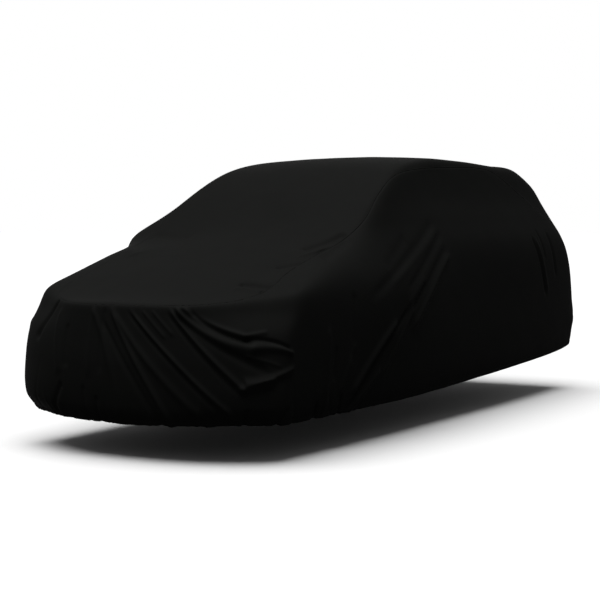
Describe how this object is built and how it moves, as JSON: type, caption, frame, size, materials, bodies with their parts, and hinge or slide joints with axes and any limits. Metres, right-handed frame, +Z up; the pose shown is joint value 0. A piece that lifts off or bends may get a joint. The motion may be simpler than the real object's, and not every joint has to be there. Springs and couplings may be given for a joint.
{
  "type": "fitted car cover",
  "caption": "Fitted stretch-satin cover shaped over a small hatchback: a top panel sewn to a skirt panel that is drawn in at an elastic hem, hollow underneath",
  "frame": {"origin": "the support point under the roof: the underside of the cloth at the roof's highest point on the middle line", "axes": "+X rearwards along the car, +Y to the car's right, +Z up"},
  "size_m": [4.0121, 1.7834, 1.3318],
  "materials": {
    "cover_cloth": "smooth black stretch satin with a soft sheen"
  },
  "bodies": {
    "root": {"top_panel": "cover_cloth", "skirt_panel": "cover_cloth"}
  },
  "joints": []
}
